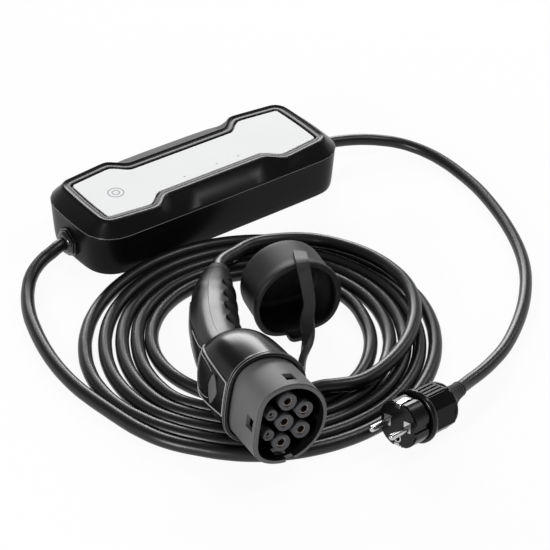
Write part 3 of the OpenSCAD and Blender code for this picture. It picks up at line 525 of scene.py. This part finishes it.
def outline_bead(name, shell, place, axis, radius, finish, slot):
    """A fine bead round a shell's outside, where a plane cuts it."""
    piece = new_piece(name, shell.data.copy())
    take(piece)
    bpy.ops.object.mode_set(mode="EDIT")
    bpy.ops.mesh.select_mode(type="VERT")
    bpy.ops.mesh.select_all(action="SELECT")
    bpy.ops.mesh.bisect(plane_co=place * MM, plane_no=axis, clear_inner=True, clear_outer=True)
    bpy.ops.mesh.select_all(action="SELECT")
    bpy.ops.mesh.remove_doubles(threshold=MICRON)
    bpy.ops.mesh.select_all(action="DESELECT")
    bpy.ops.object.mode_set(mode="OBJECT")
    farthest = max(piece.data.vertices, key=lambda vertex: (vertex.co / MM - place).length)
    farthest.select = True
    bpy.ops.object.mode_set(mode="EDIT")
    bpy.ops.mesh.select_linked()
    bpy.ops.mesh.select_all(action="INVERT")
    bpy.ops.mesh.delete(type="VERT")
    bpy.ops.object.mode_set(mode="OBJECT")
    return tube(piece, radius, finish, slot)


def through(points, step):
    """A smooth line through the points, sampled about every step millimetres."""
    line = []
    pts = [Vector(p) for p in points]
    for i in range(len(pts) - 1):
        a, b, c, d = pts[max(0, i - 1)], pts[i], pts[i + 1], pts[min(len(pts) - 1, i + 2)]
        count = max(1, round((c - b).length / step))
        for k in range(count):
            t = k / count
            line.append(b + 0.5 * t * (c - a + t * (2 * a - 5 * b + 4 * c - d
                                                    + t * (3 * (b - c) + d - a))))
    return line + [pts[-1]]


def coil_line():
    """The five turns, as they lie: wide on the left, closer together in front and behind."""
    line = []
    for degrees, radius, _ in through([(*place, 0) for place in COIL], COIL_STEP):
        angle = math.radians(degrees)
        line.append(Vector((COIL_CENTRE[0] + radius * math.cos(angle),
                            COIL_CENTRE[1] + radius * math.sin(angle), COIL_HEIGHT)))
    return line


def cable(name, line, diameter, sides, slot, *nodes):
    """A cable as one smooth open curve with a round section."""
    curve = bpy.data.curves.new(name, "CURVE")
    curve.dimensions = "3D"
    curve.bevel_depth = diameter / 2
    curve.bevel_resolution = sides
    curve.resolution_u = CABLE_STEPS
    curve.use_fill_caps = True
    spline = curve.splines.new("BEZIER")
    spline.bezier_points.add(len(line) - 1)
    for point, place in zip(spline.bezier_points, line):
        point.co = place * MM
        point.handle_left_type = point.handle_right_type = "AUTO"
    return mount(new_piece(name, curve), "sheath", slot, *nodes)


def run_of(line):
    return sum((b - a).length for a, b in zip(line, line[1:])) * MM


# Operators

class CHARGER_OT_control_box(Operator):
    """Case, cover and cable glands of the control box"""
    bl_idname = "charger.control_box"
    bl_label = "Control box"

    def execute(self, context):
        make_finishes(context.scene.charger.colours)
        soft_shell("lower_case", "tub", "case_plastic", levels=1, sharp=30)
        cover = merged_copy("upper_cover")
        smooth(cover, COVER_SMOOTH_ANGLE)
        mount(cover, "case", "case_plastic", "upper_cover")
        # The parting bead's grey is a painted highlight along the parting line
        outline_bead("parting_bead", cover, Vector((0, 0, PARTING_Z)), (0, 0, 1), PARTING_BEAD, "bead",
                     "case_plastic")
        for node in ("output_gland", "output_gland_cap", "input_gland", "input_gland_cap"):
            edged_copy(node, "gland", "case_plastic", 0.35)
        return {"FINISHED"}


class CHARGER_OT_face_plate(Operator):
    """Silver face plate with its touch ring and lamp dots"""
    bl_idname = "charger.face_plate"
    bl_label = "Face plate"

    def execute(self, context):
        make_finishes(context.scene.charger.colours)
        edged_copy("face_plate", "plate", "plate_metal", 0.25)
        for name, outer, inner in TOUCH_RINGS:
            self.ring(name, TOUCH_PLACE, outer, inner)
        for number, place in enumerate(LAMP_DOTS, 1):
            self.ring(f"lamp_dot_{number}", place, *LAMP_DOT)
        return {"FINISHED"}

    def ring(self, name, place, outer, inner):
        """A printed ring that stands a hair above the plate."""
        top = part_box("face_plate")[1].z
        deselect()
        bpy.ops.mesh.primitive_circle_add(
            vertices=RING_SIDES, radius=outer * MM, fill_type="NGON",
            location=(place[0] * MM, place[1] * MM, top))
        piece = bpy.context.object
        piece.name = name
        bpy.ops.object.transform_apply(location=True, rotation=True, scale=True)
        bpy.ops.object.mode_set(mode="EDIT")
        bpy.ops.mesh.select_all(action="SELECT")
        bpy.ops.mesh.inset(thickness=(outer - inner) * MM, depth=0)
        bpy.ops.mesh.delete(type="FACE")
        bpy.ops.mesh.select_all(action="SELECT")
        bpy.ops.mesh.extrude_region_move(TRANSFORM_OT_translate={"value": (0, 0, PRINT_HEIGHT * MM)})
        bpy.ops.mesh.select_all(action="SELECT")
        bpy.ops.mesh.normals_make_consistent(inside=False)
        bpy.ops.object.mode_set(mode="OBJECT")
        smooth(piece)
        mount(piece, "mark", "plate_metal")


class CHARGER_OT_connector(Operator):
    """Head, grip, top panel and pads of the car connector"""
    bl_idname = "charger.connector"
    bl_label = "Connector body"

    def execute(self, context):
        make_finishes(context.scene.charger.colours)
        head = soft_shell("connector_head", "gloss", "gloss_plastic")
        soft_shell("grip_upper", "satin", "gloss_plastic")
        soft_shell("grip_lower", "satin", "gloss_plastic")
        soft_shell("finger_pad", "well", "soft_rubber")
        soft_shell("thumb_pad", "thumb", "soft_rubber")
        edged_copy("grip_boot", "rubber", "soft_rubber")
        panel = soft_shell("top_panel", "panel", "gloss_plastic")
        self.edge_bead(panel)
        for name, side in (("panel_line_1", 1), ("panel_line_2", -1)):
            self.inner_line(name, panel, side)
        # The flange beads' grey is a painted highlight on the flange's ridges
        for number, along in enumerate(FLANGE_BEADS, 1):
            outline_bead(f"flange_bead_{number}", head, CONNECTOR @ Vector((0, 0, along)), MOUTH,
                         FLANGE_BEAD, "bead", "gloss_plastic")
        return {"FINISHED"}

    def edge_bead(self, panel):
        """A pale bead in the seam all round the top panel."""
        piece = new_piece("panel_bead", panel.data.copy())
        for face in piece.data.polygons:
            face.select = False
        outer = [face for face in piece.data.polygons if face.normal.dot(PANEL_SIDE) > 0.5]
        seed = min(outer, key=lambda face: (face.center / MM - PANEL_MIDDLE).length)
        seed.select = True
        take(piece)
        bpy.ops.object.mode_set(mode="EDIT")
        bpy.ops.mesh.select_mode(type="FACE")
        bpy.ops.mesh.faces_select_linked_flat(sharpness=math.radians(PANEL_FLAT_ANGLE))
        bpy.ops.mesh.region_to_loop()
        bpy.ops.mesh.select_all(action="INVERT")
        bpy.ops.mesh.delete(type="EDGE")
        bpy.ops.object.mode_set(mode="OBJECT")
        tube(piece, PANEL_BEAD, "trim", "gloss_plastic")

    def inner_line(self, name, panel, side):
        """A finer line beside the bead, from the panel's tip to the end of the thumb rest."""
        line = []
        route = [(across * side, ABOVE_PANEL, along) for across, along in PANEL_LINE]
        for place in through(route, PANEL_LINE_STEP):
            found, at, _, _ = panel.ray_cast(CONNECTOR @ place * MM, -PANEL_SIDE)
            if found:
                line.append(at)
        mesh = bpy.data.meshes.new(name)
        mesh.from_pydata(line, [(i, i + 1) for i in range(len(line) - 1)], [])
        tube(new_piece(name, mesh), PANEL_LINE_BEAD, "trim", "gloss_plastic")


class CHARGER_OT_nose(Operator):
    """Nose of the connector with its contacts"""
    bl_idname = "charger.nose"
    bl_label = "Connector nose"

    # Faces that look this far inwards get the black finish: painted shade on the inside wall of the
    # nose's mouth
    SHADE_PAINTED_INWARD = -0.4

    def execute(self, context):
        make_finishes(context.scene.charger.colours)
        shell = edged_copy("nose_shell", "nose", "nose_plastic", 0.9, 3)
        # The inside wall of the mouth is painted black as shade
        shell.data.materials.append(FINISHES["well"])
        for face in shell.data.polygons:
            out = face.center / MM - CONNECTOR.translation
            out -= out.dot(MOUTH) * MOUTH
            face.material_index = int(face.normal.dot(out.normalized()) < self.SHADE_PAINTED_INWARD)
        edged_copy("contact_insert", "sleeve", "nose_plastic")
        edged_copy("power_contacts", "brass", "contact_brass", 0.3)
        edged_copy("pilot_contacts", "brass", "contact_brass", 0.2)
        return {"FINISHED"}


class CHARGER_OT_dust_cap(Operator):
    """Dust cap and the strap that holds it"""
    bl_idname = "charger.dust_cap"
    bl_label = "Dust cap"

    # Where the strap starts to swell into a cord, over which stretch, and by how much
    CORD_TOP, CORD_FADE_DOWN = 34, 12
    CORD_BACK, CORD_FADE_FRONT = -214, 10
    SWELL = 1.7

    def execute(self, context):
        make_finishes(context.scene.charger.colours)
        soft_shell("dust_cap", "rubber", "soft_rubber")
        self.fill_out(soft_shell("cap_strap", "strap", "soft_rubber"))
        return {"FINISHED"}

    def fill_out(self, strap):
        """Makes the strap's lower end rounder, as it runs from a flat band into a cord."""
        group = strap.vertex_groups.new(name="cord_end")
        for vertex in strap.data.vertices:
            place = vertex.co / MM
            down = (self.CORD_TOP - place.z) / self.CORD_FADE_DOWN
            front = (self.CORD_BACK - place.y) / self.CORD_FADE_FRONT
            group.add([vertex.index], min(1, max(0, down, front)), "REPLACE")
        swell = strap.modifiers.new("swell", "DISPLACE")
        swell.vertex_group = "cord_end"
        swell.strength = self.SWELL * MM
        swell.mid_level = 0
        apply_all(strap)
        strap.vertex_groups.clear()


class CHARGER_OT_plug(Operator):
    """Mains plug with its pins, earth clips and boot"""
    bl_idname = "charger.plug"
    bl_label = "Mains plug"

    def execute(self, context):
        make_finishes(context.scene.charger.colours)
        for node, finish in (("plug_front", "gloss"), ("plug_collar", "gloss"), ("plug_grip", "tub"),
                             ("plug_ring", "gloss")):
            edged_copy(node, finish, "gloss_plastic", 0.6, 3)
        edged_copy("plug_boot", "rubber", "soft_rubber")
        for node in ("plug_pins", "earth_clips", "earth_sleeve"):
            edged_copy(node, "steel", "bright_steel", 0.2)
        return {"FINISHED"}


class CHARGER_OT_inner_parts(Operator):
    """Finishes of the parts inside the box and the connector"""
    bl_idname = "charger.inner_parts"
    bl_label = "Inner parts"

    FINISH_OF = {
        "case_gasket": "rubber", "case_screws": "steel", "output_locknut": "case",
        "input_locknut": "case", "main_board": "board", "board_screws": "steel",
        "power_relays": "relay", "current_sensor": "ferrite", "supply_transformer": "coil_form",
        "smoothing_capacitors": "relay", "controller_chip": "case", "input_terminals": "terminal",
        "output_terminals": "terminal", "indicator_board": "board", "indicator_lamps": "lamp",
        "contact_retainer": "nose",
    }

    def execute(self, context):
        make_finishes(context.scene.charger.colours)
        for node, finish in self.FINISH_OF.items():
            mesh = frame["nodes"][node].data
            mesh.materials.clear()
            mesh.materials.append(FINISHES[finish])
        return {"FINISHED"}


class CHARGER_OT_output_cable(Operator):
    """Coiled cable from the box to the car connector"""
    bl_idname = "charger.output_cable"
    bl_label = "Output cable"

    ON_IT = ("nose_shell", "contact_insert", "power_contacts", "pilot_contacts", "connector_head",
             "grip_upper", "grip_lower", "top_panel", "thumb_pad", "finger_pad", "grip_boot",
             "dust_cap", "cap_strap")
    BEADS = ("panel_bead", "panel_line_1", "panel_line_2", "flange_bead_1", "flange_bead_2")

    def execute(self, context):
        make_finishes(context.scene.charger.colours)
        sizes = context.scene.charger.cables
        line = through(LEAD, ROUTE_STEP) + coil_line() + through(TAIL, ROUTE_STEP)
        piece = cable("output_cable", line, sizes.output_diameter, sizes.sides, "cable_sheath",
                      "output_lead", "output_coil", "output_tail")
        round(run_of(line), 2)
        return {"FINISHED"}


class CHARGER_OT_input_lead(Operator):
    """Lead from the mains plug to the box"""
    bl_idname = "charger.input_lead"
    bl_label = "Input lead"

    ON_IT = ("plug_front", "plug_pins", "earth_clips", "earth_sleeve", "plug_collar", "plug_grip",
             "plug_ring", "plug_boot")

    def execute(self, context):
        make_finishes(context.scene.charger.colours)
        sizes = context.scene.charger.cables
        line = through(INPUT, ROUTE_STEP)
        piece = cable("input_cable", line, sizes.input_diameter, sizes.sides, "cable_sheath",
                      "input_lead")
        round(run_of(line), 2)
        return {"FINISHED"}


class CHARGER_OT_studio(Operator):
    """Floor, surroundings, lamps and camera"""
    bl_idname = "charger.studio"
    bl_label = "Studio"

    LENS, SENSOR = 122.56, 36
    AZIMUTH, ELEVATION, ROLL = -37.76, 35.91, 1.54
    AIM = Vector((-0.0444, -0.1717, 0.0485))
    DISTANCE = 1.4698
    FLOOR_SIZE = 14
    BACKDROP_RADIUS, BACKDROP_HEIGHT, BACKDROP_SIDES = 6, 1.6, 96
    # Share of plain white in what the camera sees of the floor, and the floor's own colour
    GLOW = 0.93
    FLOOR_WHITE = (0.86, 0.86, 0.86)

    def execute(self, context):
        light = context.scene.charger.light
        self.floor()
        self.surroundings(light.ambient)
        self.lamp("back_softbox", (1.3, 2.3, 1.16), (-0.08, -0.2, 0.04), (2, 1), light.back)
        self.lamp("top_softbox", (0.85, -0.6, 2.34), (-0.05, -0.15, 0), (0.5, 0.5), light.top)
        self.lamp("right_strip", (1.2, -0.2, 1.0), (0, -0.1, 0.03), (0.12, 0.6), light.right)
        self.lamp("left_lamp", (-1.25, -0.55, 0.55), (-0.1, -0.3, 0.05), (0.2, 0.2), light.left)
        self.camera()
        context.scene.view_settings.view_transform = "Standard"
        return {"FINISHED"}

    def camera(self):
        azimuth, elevation = math.radians(self.AZIMUTH), math.radians(self.ELEVATION)
        back = Vector((math.sin(azimuth) * math.cos(elevation),
                       -math.cos(azimuth) * math.cos(elevation), math.sin(elevation)))
        across = Vector((0, 0, 1)).cross(back).normalized()
        up = back.cross(across)
        turn = Matrix((across, up, back)).transposed().to_4x4() @ turned("Z", self.ROLL)
        bpy.ops.object.camera_add()
        camera = bpy.context.object
        camera.name = "camera"
        camera.data.lens = self.LENS
        camera.data.sensor_width = self.SENSOR
        camera.data.clip_start = 0.05
        camera.matrix_world = Matrix.Translation(self.AIM + back * self.DISTANCE) @ turn
        bpy.context.scene.camera = camera

    def lamp(self, name, place, aim, size, watts):
        bpy.ops.object.light_add(type="AREA", location=place)
        lamp = bpy.context.object
        lamp.name = name
        lamp.rotation_euler = (Vector(aim) - Vector(place)).to_track_quat("-Z", "Y").to_euler()
        lamp.data.shape = "RECTANGLE"
        lamp.data.size, lamp.data.size_y = size
        lamp.data.energy = watts

    def floor(self):
        """A white floor with a low round backdrop."""
        white = self.white()
        deselect()
        bpy.ops.mesh.primitive_plane_add(size=self.FLOOR_SIZE)
        self.stage("floor", white)
        bpy.ops.mesh.primitive_cylinder_add(
            vertices=self.BACKDROP_SIDES, radius=self.BACKDROP_RADIUS, depth=self.BACKDROP_HEIGHT,
            end_fill_type="NOTHING", location=(0, 0, self.BACKDROP_HEIGHT / 2))
        self.stage("backdrop", white)

    def stage(self, name, material):
        """Names the new surface and gives it its material."""
        surface = bpy.context.object
        surface.name = name
        surface.data.materials.append(material)

    def white(self):
        """Matt white that the camera and reflections see as plain white, with a faint shadow."""
        material = bpy.data.materials.new("white_backdrop")
        material.use_nodes = True
        tree = material.node_tree
        tree.nodes.clear()
        path = tree.nodes.new("ShaderNodeLightPath")
        camera, glossy, through_glass = (
            Value(tree, path.outputs[ray])
            for ray in ("Is Camera Ray", "Is Glossy Ray", "Is Transmission Ray"))
        seen = camera + glossy + through_glass
        matt = tree.nodes.new("ShaderNodeBsdfDiffuse")
        matt.inputs["Color"].default_value = (*self.FLOOR_WHITE, 1)
        glow = tree.nodes.new("ShaderNodeEmission")
        mix = tree.nodes.new("ShaderNodeMixShader")
        out = tree.nodes.new("ShaderNodeOutputMaterial")
        tree.links.new((seen * self.GLOW).socket, mix.inputs[0])
        tree.links.new(matt.outputs[0], mix.inputs[1])
        tree.links.new(glow.outputs[0], mix.inputs[2])
        tree.links.new(mix.outputs[0], out.inputs[0])
        return material

    def surroundings(self, ambient):
        world = bpy.data.worlds.new("studio")
        bpy.context.scene.world = world
        world.use_nodes = True
        sky = world.node_tree.nodes["Background"]
        sky.inputs["Color"].default_value = (1, 1, 1, 1)
        sky.inputs["Strength"].default_value = ambient


class CHARGER_PT_parts(Panel):
    """Settings and pieces of the charger"""
    bl_idname = "CHARGER_PT_parts"
    bl_label = "Portable car charger"
    bl_space_type = "VIEW_3D"
    bl_region_type = "UI"
    bl_category = "Charger"

    def draw(self, context):
        settings = context.scene.charger
        for group in (settings.cables, settings.colours, settings.light):
            column = self.layout.column()
            for name in group.__annotations__:
                column.prop(group, name)
        for step in STEPS:
            self.layout.operator(step.bl_idname)


STEPS = (
    CHARGER_OT_control_box, CHARGER_OT_face_plate, CHARGER_OT_connector, CHARGER_OT_nose,
    CHARGER_OT_dust_cap, CHARGER_OT_plug, CHARGER_OT_inner_parts, CHARGER_OT_output_cable,
    CHARGER_OT_input_lead, CHARGER_OT_studio,
)
CLASSES = (CableSizes, FinishColours, StudioLight, ChargerSettings, *STEPS, CHARGER_PT_parts)


def register():
    for item in CLASSES:
        bpy.utils.register_class(item)
    bpy.types.Scene.charger = PointerProperty(type=ChargerSettings)


def unregister():
    del bpy.types.Scene.charger
    for item in reversed(CLASSES):
        bpy.utils.unregister_class(item)


def main():
    register()
    deselect()
    bpy.ops.charger.control_box()
    bpy.ops.charger.face_plate()
    bpy.ops.charger.connector()
    bpy.ops.charger.nose()
    bpy.ops.charger.dust_cap()
    bpy.ops.charger.plug()
    bpy.ops.charger.inner_parts()
    bpy.ops.charger.output_cable()
    bpy.ops.charger.input_lead()
    bpy.ops.charger.studio()


if __name__ == "__main__":
    main()
